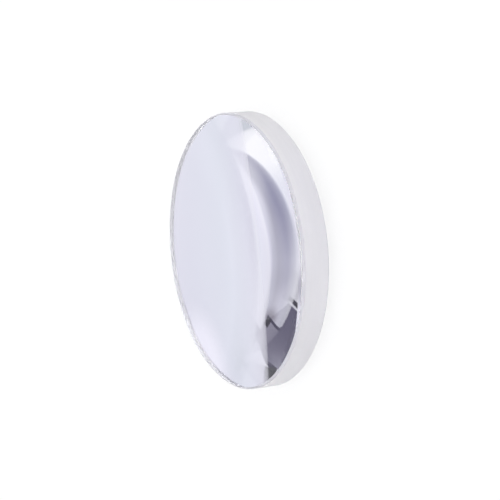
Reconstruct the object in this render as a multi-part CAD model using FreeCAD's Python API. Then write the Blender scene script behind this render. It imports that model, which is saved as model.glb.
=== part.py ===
import FreeCAD, Part

import math
import os

# Biconvex singlet lens, ground and polished from one blank of optical crown glass.
# Units are millimetres. The optical axis is +Z, and the origin is the vertex of the
# lower polished face, so the lens lies on that face on the plane z = 0.

# Driving dimensions
DIAMETER = 25.4          # over the ground edge
UPPER_FACE_RADIUS = 64.7  # radius of curvature of the upper polished face
LOWER_FACE_RADIUS = 64.7  # radius of curvature of the lower polished face
EDGE_THICKNESS = 2.6     # between the two spheres, measured at the full diameter
BEVEL_WIDTH = 0.2        # of each protective bevel, measured along the radius
BEVEL_ANGLE = 45.0       # of each bevel to the optical axis, in degrees

# Glass data, used only for the printed focal length
REFRACTIVE_INDEX = 1.5168  # borosilicate crown at 587.6 nm

RIM_RADIUS = DIAMETER / 2
POLISHED_RADIUS = RIM_RADIUS - BEVEL_WIDTH
BEVEL_HEIGHT = BEVEL_WIDTH / math.tan(math.radians(BEVEL_ANGLE))
OPTICAL_AXIS = FreeCAD.Vector(0, 0, 1)
LOWER_VERTEX = FreeCAD.Vector(0, 0, 0)


def sag(face_radius, height):
    """Depth of a spherical face, from its vertex to where it is this far from the axis."""
    return face_radius - math.sqrt(face_radius**2 - height**2)


CENTRE_THICKNESS = EDGE_THICKNESS + sag(LOWER_FACE_RADIUS, RIM_RADIUS) + sag(UPPER_FACE_RADIUS, RIM_RADIUS)


def section_point(distance, height):
    """A point of the half section, at a distance from the axis and a height above the origin."""
    return FreeCAD.Vector(distance, 0, height)


def face_arc(face_radius, vertex_height, side):
    """Arc of a polished face, from its vertex out to the bevel. side is +1 above and -1 below."""
    def on_face(distance):
        return section_point(distance, vertex_height - side * sag(face_radius, distance))

    return Part.Arc(on_face(0), on_face(POLISHED_RADIUS / 2), on_face(POLISHED_RADIUS)).toShape()


def half_section():
    """Closed outline of one half of the lens, in the XZ plane, with the axis as its inner side."""
    lower_face = face_arc(LOWER_FACE_RADIUS, 0, -1)
    upper_face = face_arc(UPPER_FACE_RADIUS, CENTRE_THICKNESS, +1)

    lower_face_edge = section_point(POLISHED_RADIUS, sag(LOWER_FACE_RADIUS, POLISHED_RADIUS))
    upper_face_edge = section_point(
        POLISHED_RADIUS, CENTRE_THICKNESS - sag(UPPER_FACE_RADIUS, POLISHED_RADIUS)
    )
    lower_rim = section_point(RIM_RADIUS, lower_face_edge.z + BEVEL_HEIGHT)
    upper_rim = section_point(RIM_RADIUS, upper_face_edge.z - BEVEL_HEIGHT)

    lower_bevel = Part.makeLine(lower_face_edge, lower_rim)
    ground_edge = Part.makeLine(lower_rim, upper_rim)
    upper_bevel = Part.makeLine(upper_rim, upper_face_edge)
    axis_side = Part.makeLine(section_point(0, CENTRE_THICKNESS), section_point(0, 0))

    sides = [lower_face, lower_bevel, ground_edge, upper_bevel, upper_face, axis_side]
    return Part.Wire(Part.__sortEdges__(sides))


def biconvex_lens():
    """The whole lens: two polished faces, a ground edge between them, and a bevel on each corner."""
    return Part.Face(half_section()).revolve(LOWER_VERTEX, OPTICAL_AXIS, 360)


def focal_length():
    """Focal length of the finished lens, by the lensmaker's equation for a thick lens."""
    curvature = 1 / UPPER_FACE_RADIUS + 1 / LOWER_FACE_RADIUS
    thickness_term = (REFRACTIVE_INDEX - 1) * CENTRE_THICKNESS / (
        REFRACTIVE_INDEX * UPPER_FACE_RADIUS * LOWER_FACE_RADIUS
    )
    return 1 / ((REFRACTIVE_INDEX - 1) * (curvature - thickness_term))


def main():
    os.makedirs("parts", exist_ok=True)
    lens = biconvex_lens()
    lens.exportStep("parts/biconvex_lens.step")
    print("centre thickness %.3f mm" % CENTRE_THICKNESS)
    print("focal length %.2f mm" % focal_length())
    print("volume %.1f mm3, valid %s" % (lens.Volume, lens.isValid()))


main()
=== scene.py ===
# %% [markdown]
# # A biconvex lens in Blender
#
# The object is one piece of polished crown glass, lying on its lower face. Glass has no colour of
# its own to paint: what the eye sees is the room behind it, bent by two curved faces, and mirrored
# inside wherever the light meets a face too flatly to leave. So most of this lesson is about two
# things, the exact curve of the faces and what stands around the lens.
#
# We load the measured part first. Everything that follows is in metres, in that part's own frame.

# %% Load the measured lens
import math

import bpy
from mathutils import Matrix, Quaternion, Vector


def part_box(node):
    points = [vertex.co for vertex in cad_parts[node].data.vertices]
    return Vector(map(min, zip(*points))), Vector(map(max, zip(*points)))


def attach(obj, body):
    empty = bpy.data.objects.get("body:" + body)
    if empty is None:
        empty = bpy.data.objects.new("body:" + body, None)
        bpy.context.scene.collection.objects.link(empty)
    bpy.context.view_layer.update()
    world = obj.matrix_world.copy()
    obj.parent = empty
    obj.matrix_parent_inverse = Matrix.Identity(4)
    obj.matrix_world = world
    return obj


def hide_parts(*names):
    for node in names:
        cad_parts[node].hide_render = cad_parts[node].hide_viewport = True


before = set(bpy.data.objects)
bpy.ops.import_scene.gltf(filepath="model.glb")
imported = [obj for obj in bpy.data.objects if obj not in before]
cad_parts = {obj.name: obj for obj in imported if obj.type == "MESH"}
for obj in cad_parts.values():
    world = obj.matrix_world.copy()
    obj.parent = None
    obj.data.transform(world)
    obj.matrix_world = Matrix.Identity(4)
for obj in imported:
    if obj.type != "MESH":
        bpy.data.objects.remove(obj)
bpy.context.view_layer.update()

MM = 0.001

# %% [markdown]
# ## Driving dimensions
#
# The diameter and the centre thickness are read from the part. Its two faces are spheres of one
# radius, and a small bevel at 45 degrees keeps each sharp corner from chipping. The rest follows:
# how far a sphere falls away at some distance from the axis is called its sag.

# %% Sizes of the lens
lens_low, lens_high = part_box("biconvex_lens")
RIM_RADIUS = (lens_high[0] - lens_low[0]) / 2
CENTRE_THICKNESS = lens_high[2] - lens_low[2]
FACE_RADIUS = 64.7 * MM
BEVEL = 0.2 * MM

POLISHED_RADIUS = RIM_RADIUS - BEVEL
FACE_SAG = FACE_RADIUS - math.sqrt(FACE_RADIUS**2 - POLISHED_RADIUS**2)
EDGE_LAND = CENTRE_THICKNESS - 2 * (FACE_SAG + BEVEL)
print("the ground edge is", round(EDGE_LAND / MM, 2), "mm wide")

# %% [markdown]
# ## Colours and nodes
#
# Colours are written as the hex values that a screen shows. Blender computes with light, so one
# function turns them to linear numbers. A second small function adds a node with its settings and
# its links, which keeps each material below down to a few lines.

# %% Helpers for materials
def linear(hex_colour):
    """Linear red, green, blue and alpha of an sRGB hex value."""
    channels = [int(hex_colour[i:i + 2], 16) / 255 for i in (0, 2, 4)]
    return [c / 12.92 if c <= 0.04045 else ((c + 0.055) / 1.055) ** 2.4 for c in channels] + [1.0]


def add_node(tree, kind, settings=None, **inputs):
    """Adds a node. A socket among the inputs is linked, and anything else is its plain value."""
    node = tree.nodes.new(kind)
    for name, value in (settings or {}).items():
        setattr(node, name, value)
    for name, value in inputs.items():
        socket = node.inputs[int(name[1:])] if name[1:].isdigit() else node.inputs[name.replace("_", " ")]
        if isinstance(value, bpy.types.NodeSocket):
            tree.links.new(value, socket)
        else:
            socket.default_value = value
    return node


def new_material(name):
    """An empty node material, with its output node."""
    material = bpy.data.materials.new(name)
    material.use_nodes = True
    material.node_tree.nodes.clear()
    return material, material.node_tree, material.node_tree.nodes.new("ShaderNodeOutputMaterial")


print("mid grey 808080 is", round(linear("808080")[0], 3), "as light")

# %% [markdown]
# ## The glass body
#
# A lens is a body of revolution, so it is drawn the way it is ground. One point at the lower
# vertex is spun about the centre of the lower sphere, which draws the face's arc. The arc's end is
# extruded along the bevel, up the ground edge and in along the other bevel, and then spun about
# the centre of the upper sphere, back to the axis. That half section is spun a full turn about the
# optical axis. Refraction shows every facet, so both spins take many small steps. Corners below 25
# degrees are shaded smooth. A bevel meets its neighbours at more than that, so it stays crisp.

# %% Draw the half section and spin it
ARC_STEPS = 72
TURN_STEPS = 288
MERGE_DISTANCE = BEVEL / 100
SMOOTH_BELOW = math.radians(25)

face_angle = math.asin(POLISHED_RADIUS / FACE_RADIUS)
lower_centre = Vector((0, 0, FACE_RADIUS))
upper_centre = Vector((0, 0, CENTRE_THICKNESS - FACE_RADIUS))

bpy.ops.object.select_all(action="DESELECT")
bpy.ops.mesh.primitive_plane_add(size=BEVEL, location=(0, 0, 0))
lens = bpy.context.object
lens.name = "polished_lens"
bpy.ops.object.mode_set(mode="EDIT")
bpy.ops.mesh.select_all(action="SELECT")
bpy.ops.mesh.merge(type="CENTER")
bpy.ops.mesh.spin(steps=ARC_STEPS, angle=face_angle, center=lower_centre, axis=(0, 1, 0))
for step in ((BEVEL, 0, BEVEL), (0, 0, EDGE_LAND), (-BEVEL, 0, BEVEL)):
    bpy.ops.mesh.extrude_region_move(TRANSFORM_OT_translate={"value": step})
bpy.ops.mesh.spin(steps=ARC_STEPS, angle=face_angle, center=upper_centre, axis=(0, 1, 0))
bpy.ops.mesh.select_all(action="SELECT")
bpy.ops.mesh.spin(steps=TURN_STEPS, angle=math.tau, center=(0, 0, 0), axis=(0, 0, 1))
bpy.ops.mesh.select_all(action="SELECT")
bpy.ops.mesh.remove_doubles(threshold=MERGE_DISTANCE)
bpy.ops.mesh.normals_make_consistent(inside=False)
bpy.ops.object.mode_set(mode="OBJECT")
bpy.ops.object.shade_smooth_by_angle(angle=SMOOTH_BELOW)
print("the lens has", len(lens.data.polygons), "faces")

# %% [markdown]
# ## Polished glass
#
# The two faces are polished until nothing of the grinding is left, so their roughness is zero. The
# glass is borosilicate crown, with an index of 1.5168 for yellow light. At that index a ray inside
# the glass that meets a face at more than 41 degrees can't leave, and this is what draws the
# bright and dark crescents near the rim. Good crown glass is almost colourless, so its tint is
# only just off white. A pattern here would be wrong: what varies over polished glass is the room.

# %% Polished faces
CROWN_INDEX = 1.5168

polished, tree, output = new_material("polished_crown_glass")
glass = add_node(tree, "ShaderNodeBsdfPrincipled", Base_Color=linear("F9FAFD"), Roughness=0.0,
                 IOR=CROWN_INDEX, Transmission_Weight=1.0)
tree.links.new(glass.outputs[0], output.inputs["Surface"])
critical_angle = math.degrees(math.asin(1 / CROWN_INDEX))
print(polished.name, "mirrors from inside past", round(critical_angle, 1), "degrees")

# %% [markdown]
# ## Ground glass
#
# The edge is only ground, never polished. To the eye it is pale grey frosted glass: light goes in
# and out of it, but scattered, so nothing shows through. Two things vary over it. The lens turns
# against the grinding wheel, which leaves faint marks that run around the edge, so their noise is
# stretched along X and Y and tight along the axis. The grit itself pits the surface. Real pits are
# some hundredths of a millimetre wide, too fine for this picture, so they are drawn about three
# times as coarse, 0.1 mm. They change the roughness a little from place to place, and a very faint
# bump dents the surface with them.

# %% Ground edge
GRIT = 0.1 * MM
PIT_DEPTH = GRIT / 4
PIT_STRENGTH = 0.08
MARK_LENGTH = 4.0 * MM
MARK_SPACING = 0.3 * MM
DARK_MARK, LIGHT_MARK = linear("F1F0F2"), linear("FDFCFC")
FINE_PITS, COARSE_PITS = 0.56, 0.72
GROUND_CLEARNESS = 0.75

ground, tree, output = new_material("fine_ground_glass")
place = add_node(tree, "ShaderNodeTexCoord")
along_marks = add_node(tree, "ShaderNodeMapping", Vector=place.outputs["Object"],
                       Scale=(1 / MARK_LENGTH, 1 / MARK_LENGTH, 1 / MARK_SPACING))
marks = add_node(tree, "ShaderNodeTexNoise", Vector=along_marks.outputs[0], Scale=1.0, Detail=2.0)
grit = add_node(tree, "ShaderNodeTexNoise", Vector=place.outputs["Object"], Scale=1 / GRIT, Detail=2.0)
shade = add_node(tree, "ShaderNodeMix", {"data_type": "RGBA"}, i0=marks.outputs["Fac"],
                 i6=DARK_MARK, i7=LIGHT_MARK)
rough = add_node(tree, "ShaderNodeMapRange", Value=grit.outputs["Fac"],
                 To_Min=FINE_PITS, To_Max=COARSE_PITS)
pits = add_node(tree, "ShaderNodeBump", Height=grit.outputs["Fac"], Strength=PIT_STRENGTH,
                Distance=PIT_DEPTH)
glass = add_node(tree, "ShaderNodeBsdfPrincipled", Base_Color=shade.outputs[2], IOR=CROWN_INDEX,
                 Roughness=rough.outputs[0], Transmission_Weight=GROUND_CLEARNESS,
                 Normal=pits.outputs[0])
tree.links.new(glass.outputs[0], output.inputs["Surface"])
print(ground.name, "has", len(tree.nodes), "nodes")

# %% [markdown]
# ## Bevels
#
# The bevels are ground last, with finer grit, so they shine more than the edge. The lens is held against
# the tool by hand, which leaves the finish a little uneven every few millimetres along the rim. Each bevel
# is a hairline in the picture, and the two look different there. The lower one is seen only through the
# glass, as a bright line, so it is the clearer. The upper one is seen from outside, as a soft line that is
# greyer than the edge beside it, so it is drawn rougher and less clear, and its greyer tint is painted
# shade.

# %% Bevels
UNEVEN_LENGTH = 2.0 * MM

bevels = []
# The upper bevel's tint, DEDDE3, is painted shade: it is the same fine-ground finish as the lower bevel,
# drawn greyer.
for name, tint, smoothest, roughest, clear in (("fine_ground_upper_bevel_painted_shade", "DEDDE3", 0.36, 0.44, 0.75),
                                               ("fine_ground_lower_bevel", "F4F3F7", 0.20, 0.28, 1.0)):
    bevelled, tree, output = new_material(name)
    place = add_node(tree, "ShaderNodeTexCoord")
    uneven = add_node(tree, "ShaderNodeTexNoise", Vector=place.outputs["Object"],
                      Scale=1 / UNEVEN_LENGTH, Detail=1.0)
    rough = add_node(tree, "ShaderNodeMapRange", Value=uneven.outputs["Fac"],
                     To_Min=smoothest, To_Max=roughest)
    glass = add_node(tree, "ShaderNodeBsdfPrincipled", Base_Color=linear(tint), IOR=CROWN_INDEX,
                     Roughness=rough.outputs[0], Transmission_Weight=clear)
    tree.links.new(glass.outputs[0], output.inputs["Surface"])
    bevels.append(bevelled)
print("bevels:", [bevelled.name for bevelled in bevels])

# %% [markdown]
# ## One body, four finishes
#
# A real lens is one body, and only its surface changes. So the mesh stays one piece too, and each
# of its faces takes a finish from where it lies and which way it points. Normals on the ground edge
# are level, and those on a bevel slope at 45 degrees.

# %% Give each face its finish
POLISHED, GROUND, UPPER_BEVEL, LOWER_BEVEL = range(4)
LEVEL_BELOW = 0.5

for finish in (polished, ground, *bevels):
    lens.data.materials.append(finish)
polished_reach = POLISHED_RADIUS * math.cos(math.pi / TURN_STEPS)
for face in lens.data.polygons:
    if math.hypot(face.center.x, face.center.y) < polished_reach:
        face.material_index = POLISHED
    elif abs(face.normal.z) < LEVEL_BELOW:
        face.material_index = GROUND
    else:
        face.material_index = UPPER_BEVEL if face.normal.z > 0 else LOWER_BEVEL
counts = [sum(face.material_index == slot for face in lens.data.polygons)
          for slot in (POLISHED, GROUND, UPPER_BEVEL, LOWER_BEVEL)]
print("polished, ground, upper and lower bevel faces:", counts)

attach(lens, "root")
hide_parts("biconvex_lens")

# %% [markdown]
# ## Floor
#
# The lens lies on a plain white table. Seen directly, three quarters of its white is its own light,
# so it stays white without more light on the lens. The rest is matt, so that it keeps a faint soft
# shadow of the lens. A table this close would show in the glass as one flat white. Rays that come
# out of the glass pass it instead and see the studio around, which is described next.

# %% Floor
FLOOR_SIZE = 3.0
OWN_LIGHT = 0.75

floor_material, tree, output = new_material("white_floor")
paths = add_node(tree, "ShaderNodeLightPath")
matt = add_node(tree, "ShaderNodeBsdfDiffuse", Color=linear("F2F2F4"))
lit = add_node(tree, "ShaderNodeEmission", Color=linear("FFFFFF"), Strength=1.0)
seen = add_node(tree, "ShaderNodeMath", {"operation": "MAXIMUM"}, i0=paths.outputs["Is Camera Ray"],
                i1=paths.outputs["Is Glossy Ray"])
share = add_node(tree, "ShaderNodeMath", {"operation": "MULTIPLY"}, i0=seen.outputs[0], i1=OWN_LIGHT)
mixed = add_node(tree, "ShaderNodeMixShader", i0=share.outputs[0], i1=matt.outputs[0], i2=lit.outputs[0])
tree.links.new(mixed.outputs[0], output.inputs["Surface"])

bpy.ops.object.select_all(action="DESELECT")
bpy.ops.mesh.primitive_plane_add(size=FLOOR_SIZE, location=(0, 0, 0))
floor = bpy.context.object
floor.name = "floor"
floor.data.materials.append(floor_material)
floor.visible_transmission = False
print("the floor is", floor.dimensions.x, "m wide")

# %% [markdown]
# ## The studio in the glass
#
# What the lens shows is its surroundings. A photographer would place paper and cloth around it until it
# looks right. Here a search program did most of that work. It traced the camera's rays through the lens,
# and solved for the tones and places that bring the picture in the glass closest to the photo. So this is a
# guess that fits one view, and no real room was measured. The backdrop's tones are that program's result,
# apart from the one at -5 degrees.
#
# The backdrop runs from pale lilac below, over a bright table edge and the dark gap behind it, to a
# grey wall and a lighter strip of ceiling. Each tone is given with its elevation in degrees.
# Blender's colour ramp holds them by the sine of that angle, because a direction's Z is the sine of
# its elevation.

# %% Backdrop
BACKDROP = [(-50, "F2F1FB"), (-30, "EBEDF6"), (-14, "F1EFFA"), (-5, "FAF9FF"), (1, "D4D5E6"), (6, "9C9DB2"),
            (12, "BFBDCC"), (20, "C9C7D4"), (28, "B7B5C2"), (34, "C4C3D1"), (38, "EEEBFB"), (50, "BAB8C9")]

world = bpy.data.worlds.new("studio")
bpy.context.scene.world = world
world.use_nodes = True
tree = world.node_tree
tree.nodes.clear()
place = add_node(tree, "ShaderNodeTexCoord")
split = add_node(tree, "ShaderNodeSeparateXYZ", Vector=place.outputs["Generated"])
height = add_node(tree, "ShaderNodeMapRange", Value=split.outputs["Z"], From_Min=-1.0, From_Max=1.0)
backdrop = add_node(tree, "ShaderNodeValToRGB", Fac=height.outputs[0])
stops = backdrop.color_ramp.elements
stops.remove(stops[0])
for elevation, colour in BACKDROP:
    stops.new((math.sin(math.radians(elevation)) + 1) / 2).color = linear(colour)
stops.remove(stops[-1])
print("the backdrop has", len(stops), "tones")

# %% [markdown]
# Over the backdrop lie large soft patches, like cloths and pools of light. In nodes such a patch is a
# spherical gradient, moved and stretched to its place, that mixes in one colour. The first, a dark cloth
# behind the lens, becomes the dark crescent. The lights at the left become the white highlight above it.
# The two small shades, which come last, deepen the dark corner and the thin line of the rim beside it. All
# but the very last are the search program's result too.

# %% Soft patches
PATCH_DEPTH = 2.0


def direction(azimuth, elevation):
    """Unit vector towards an azimuth, from +X towards +Y, and an elevation, both in degrees."""
    az, el = math.radians(azimuth), math.radians(elevation)
    return Vector((math.cos(az) * math.cos(el), math.sin(az) * math.cos(el), math.sin(el)))


def lay_patch(under, colour, strength, azimuth, elevation, width, height, softness):
    """Lays a soft patch over the colours so far. Its half width and height are parts of a radius."""
    scale = Vector((1 / width, 1 / PATCH_DEPTH, 1 / height))
    moved = add_node(tree, "ShaderNodeMapping", Vector=place.outputs["Generated"], Scale=scale,
                     Location=-direction(azimuth, elevation) * scale)
    ball = add_node(tree, "ShaderNodeTexGradient", {"gradient_type": "SPHERICAL"}, Vector=moved.outputs[0])
    share = add_node(tree, "ShaderNodeMapRange", {"interpolation_type": "SMOOTHSTEP"},
                     Value=ball.outputs["Fac"], From_Max=softness)
    light = [strength * channel for channel in linear(colour)[:3]] + [1.0]
    mixed = add_node(tree, "ShaderNodeMix", {"data_type": "RGBA"}, i0=share.outputs[0], i6=under, i7=light)
    return mixed.outputs[2]


dark_cloth = lay_patch(backdrop.outputs[0], "82819E", 1.0, 112.4, 14.5, 0.95, 0.37, 0.96)
right_haze = lay_patch(dark_cloth, "E3E2E9", 1.0, 70.8, -2.3, 0.68, 0.43, 0.92)
table_light = lay_patch(right_haze, "FEFDFF", 1.07, 164.7, -23.3, 0.62, 0.57, 0.49)
left_wall = lay_patch(table_light, "CBCAD5", 1.0, 152.6, 30.4, 0.55, 0.38, 0.72)
left_ceiling = lay_patch(left_wall, "F6F4FF", 1.06, 143.1, 35.8, 0.75, 0.19, 1.0)
corner_shade = lay_patch(left_ceiling, "7A7480", 1.0, 53.9, 24.6, 0.13, 0.21, 1.0)
low_shade = lay_patch(corner_shade, "807E8C", 1.0, 64, -55, 0.17, 0.17, 1.0)
print("the studio has", len(tree.nodes), "nodes")

# %% [markdown]
# Only rays that came through clear glass, or were mirrored by it, see this studio. To the camera
# the world is plain white, and so is its light on anything matt. A ray that ground glass has
# scattered carries no picture of the room either, so it meets plain white too: its diffuse depth
# is 1 or more, and taking that away turns the studio off.

# %% World
paths = add_node(tree, "ShaderNodeLightPath")
plain = add_node(tree, "ShaderNodeBackground", Color=linear("FFFFFF"), Strength=1.0)
studio = add_node(tree, "ShaderNodeBackground", Color=low_shade, Strength=1.0)
in_glass = add_node(tree, "ShaderNodeMath", {"operation": "MAXIMUM"}, i0=paths.outputs["Is Glossy Ray"],
                    i1=paths.outputs["Is Transmission Ray"])
unscattered = add_node(tree, "ShaderNodeMath", {"operation": "SUBTRACT", "use_clamp": True},
                       i0=in_glass.outputs[0], i1=paths.outputs["Diffuse Depth"])
mixed = add_node(tree, "ShaderNodeMixShader", i0=unscattered.outputs[0], i1=plain.outputs[0],
                 i2=studio.outputs[0])
add_node(tree, "ShaderNodeOutputWorld", Surface=mixed.outputs[0])
print("the world has", len(tree.nodes), "nodes")

# %% [markdown]
# ## Flags
#
# A photographer holds black or grey boards, called flags, beside glass to give it a dark accent
# with a sharp edge. Soft patches can't do that, so these are real cards, 0.6 m from the lens. Each
# is placed by the direction that its middle lies in and by how many degrees it spans from there.
# They cast no shadow, and only rays that touched glass see them. Most of them stand at the right, where the
# glass turns them into the dark corner with its grey wedge, its small clips and its black tip. The pale
# panel, at the left, is the small grey wedge above the highlight. Some sizes and tones here come from the
# search program, and the others were set one by one.

# %% Flags
CARD_DISTANCE = 0.6


def keep_to_glass(card, material):
    """Gives a card its material, and hides it from the camera and from matt surfaces."""
    card.name = material.name
    card.data.materials.append(material)
    card.visible_camera = False
    card.visible_diffuse = False
    card.visible_shadow = False


def hang_card(name, colour, azimuth, elevation, width, height, strength=1.0, scattered_only=False):
    """A flat card that faces the lens, seen only through the glass and in it."""
    toward = direction(azimuth, elevation)
    span = [2 * CARD_DISTANCE * math.tan(math.radians(angle / 2)) for angle in (width, height)]
    bpy.ops.object.select_all(action="DESELECT")
    bpy.ops.mesh.primitive_plane_add(size=1.0, location=toward * CARD_DISTANCE)
    card = bpy.context.object
    card.scale = (*span, 1)
    card.rotation_euler = toward.to_track_quat("-Z", "Y").to_euler()
    material, tree, output = new_material(name)
    glow = add_node(tree, "ShaderNodeEmission", Color=linear(colour), Strength=strength)
    if scattered_only:
        paths = add_node(tree, "ShaderNodeLightPath")
        clear = add_node(tree, "ShaderNodeBsdfTransparent")
        glow = add_node(tree, "ShaderNodeMixShader", i0=paths.outputs["Diffuse Depth"],
                        i1=clear.outputs[0], i2=glow.outputs[0])
    tree.links.new(glow.outputs[0], output.inputs["Surface"])
    keep_to_glass(card, material)
    print("hung", name, [round(side, 2) for side in span], "m")


hang_card("grey_board", "848191", 46, 13.5, 17, 29)
hang_card("dark_board", "545066", 39.9, -21, 35.1, 48)
hang_card("board_edge", "2A2740", 54.6, 13, 1.6, 30)
hang_card("board_clip", "14121E", 52, 24.5, 5, 6)
hang_card("low_clip", "2A2834", 60, -41.7, 1.8, 6.7)
hang_card("low_grey", "C6C5CD", 66, -43.4, 13, 11.4)
hang_card("black_card", "08080A", 8, 25, 10, 16)
hang_card("pale_panel", "CACED5", 174, 26, 16, 22)

# %% [markdown]
# ## Bright sheets below
#
# Ground glass glows softly where light reaches it from inside. On the real lens that light comes up from
# the white table, through the lower face. Here the table lets rays from the glass pass, so two glowing
# sheets below it do the same work. They are brighter than white paper, one of them eight times as bright,
# and their strengths were set against the edge. Seen through the clear faces they would glare, so they
# shine only for scattered rays, and are clear to all others.

# %% Bright sheets
hang_card("low_sheet", "FFFFFF", -35, -32, 100, 50, strength=8.0, scattered_only=True)
hang_card("near_sheet", "FFFFFF", -131, -32, 82, 50, strength=1.5, scattered_only=True)

# %% [markdown]
# ## A glow under the rim
#
# Near its rim the lens curves up from the table, and there the white paper close below it shows
# through as a soft glow along the lower left of the clear face. It is too near for the backdrop,
# where everything is far away. So it is a small disc of light just under the table's surface,
# where only rays that left the glass can reach it. A spherical gradient, 1 at its centre and 0 at
# its radius, fades it out.

# %% Glow
GLOW_AZIMUTH = 131
GLOW_REACH = 14.0 * MM
GLOW_RADIUS = 5.4 * MM
GLOW_DEPTH = 0.05 * MM
GLOW_SOFTNESS = 0.7
GLOW_STRENGTH = 1.12

material, tree, output = new_material("table_glow")
place = add_node(tree, "ShaderNodeTexCoord")
moved = add_node(tree, "ShaderNodeMapping", Vector=place.outputs["Object"], Scale=[1 / GLOW_RADIUS] * 3)
ball = add_node(tree, "ShaderNodeTexGradient", {"gradient_type": "SPHERICAL"}, Vector=moved.outputs[0])
share = add_node(tree, "ShaderNodeMapRange", {"interpolation_type": "SMOOTHSTEP"},
                 Value=ball.outputs["Fac"], From_Max=GLOW_SOFTNESS)
clear = add_node(tree, "ShaderNodeBsdfTransparent")
glow = add_node(tree, "ShaderNodeEmission", Color=linear("F8F6FF"), Strength=GLOW_STRENGTH)
mixed = add_node(tree, "ShaderNodeMixShader", i0=share.outputs[0], i1=clear.outputs[0], i2=glow.outputs[0])
tree.links.new(mixed.outputs[0], output.inputs["Surface"])

bpy.ops.object.select_all(action="DESELECT")
glow_place = direction(GLOW_AZIMUTH, 0) * GLOW_REACH - Vector((0, 0, GLOW_DEPTH))
bpy.ops.mesh.primitive_plane_add(size=2 * GLOW_RADIUS, location=glow_place)
keep_to_glass(bpy.context.object, material)
print("the glow lies at", [round(side / MM, 1) for side in glow_place], "mm")

# %% [markdown]
# ## Lamp
#
# One wide soft lamp above the camera's side lights the ground edge that faces us, and lays the
# faint shadow on the table. It is a disc 0.5 m wide, 0.65 m from the lens, so no shadow has a hard
# edge, and its energy is low enough that the pale ground edge keeps its grey. The clear faces would
# mirror it as a large white oval, so it is hidden from them. What they show is the studio alone.

# %% Lamp
LAMP_PLACE = (0.12, -0.5, 0.4)
LAMP_WIDTH = 0.5
LAMP_WATTS = 2.12

bpy.ops.object.select_all(action="DESELECT")
bpy.ops.object.light_add(type="AREA", location=LAMP_PLACE)
key = bpy.context.object
key.name = "key_softbox"
key.data.shape = "DISK"
key.data.size = LAMP_WIDTH
key.data.energy = LAMP_WATTS
key.visible_glossy = False
key.visible_transmission = False
key.rotation_euler = key.location.to_track_quat("Z", "Y").to_euler()
print("the lamp is", round(key.location.length, 2), "m from the lens")

# %% [markdown]
# ## Camera
#
# A round rim seen at a slant is an ellipse. How flat that ellipse is gives the angle at which the
# camera looks down, and how much the near part of the rim is larger than the far part gives its
# distance. A small fit to the outline and both rims gave the numbers below. In the picture the lens
# seems to stand on its edge. A lens can't stand like that by itself, so here it lies on the table
# and the camera is rolled to its side instead.

# %% Camera
PHOTO_WIDTH = 500
PHOTO_FOCAL = 1800
SENSOR_WIDTH = 36
AIM = Vector((-0.03, 0, 1.99)) * MM
DISTANCE = 165.8 * MM
ELEVATION = math.radians(28.98)
ROLL = math.radians(-95.97)
NEAREST = 0.01

toward = Vector((0, math.cos(ELEVATION), -math.sin(ELEVATION)))
bpy.ops.object.camera_add(location=AIM - toward * DISTANCE)
camera = bpy.context.object
camera.name = "camera"
camera.rotation_mode = "QUATERNION"
camera.rotation_quaternion = toward.to_track_quat("-Z", "Y") @ Quaternion((0, 0, 1), ROLL)
camera.data.sensor_width = SENSOR_WIDTH
camera.data.lens = SENSOR_WIDTH * PHOTO_FOCAL / PHOTO_WIDTH
camera.data.clip_start = NEAREST
bpy.context.scene.camera = camera
print("the camera's focal length is", round(camera.data.lens, 1), "mm")

# %% [markdown]
# ## Render settings
#
# Light can be mirrored between the two faces and the ground edge many times before it leaves, and
# every pass through a face counts as a bounce. With few bounces those paths end early and the rim
# turns dark, so the limits are raised.

# %% Render settings
MOST_BOUNCES = 32
MOST_GLASS_BOUNCES = 24

scene = bpy.context.scene
scene.view_settings.view_transform = "Standard"
scene.cycles.max_bounces = MOST_BOUNCES
scene.cycles.glossy_bounces = MOST_GLASS_BOUNCES
scene.cycles.transmission_bounces = MOST_GLASS_BOUNCES
print("a ray may bounce", scene.cycles.max_bounces, "times")
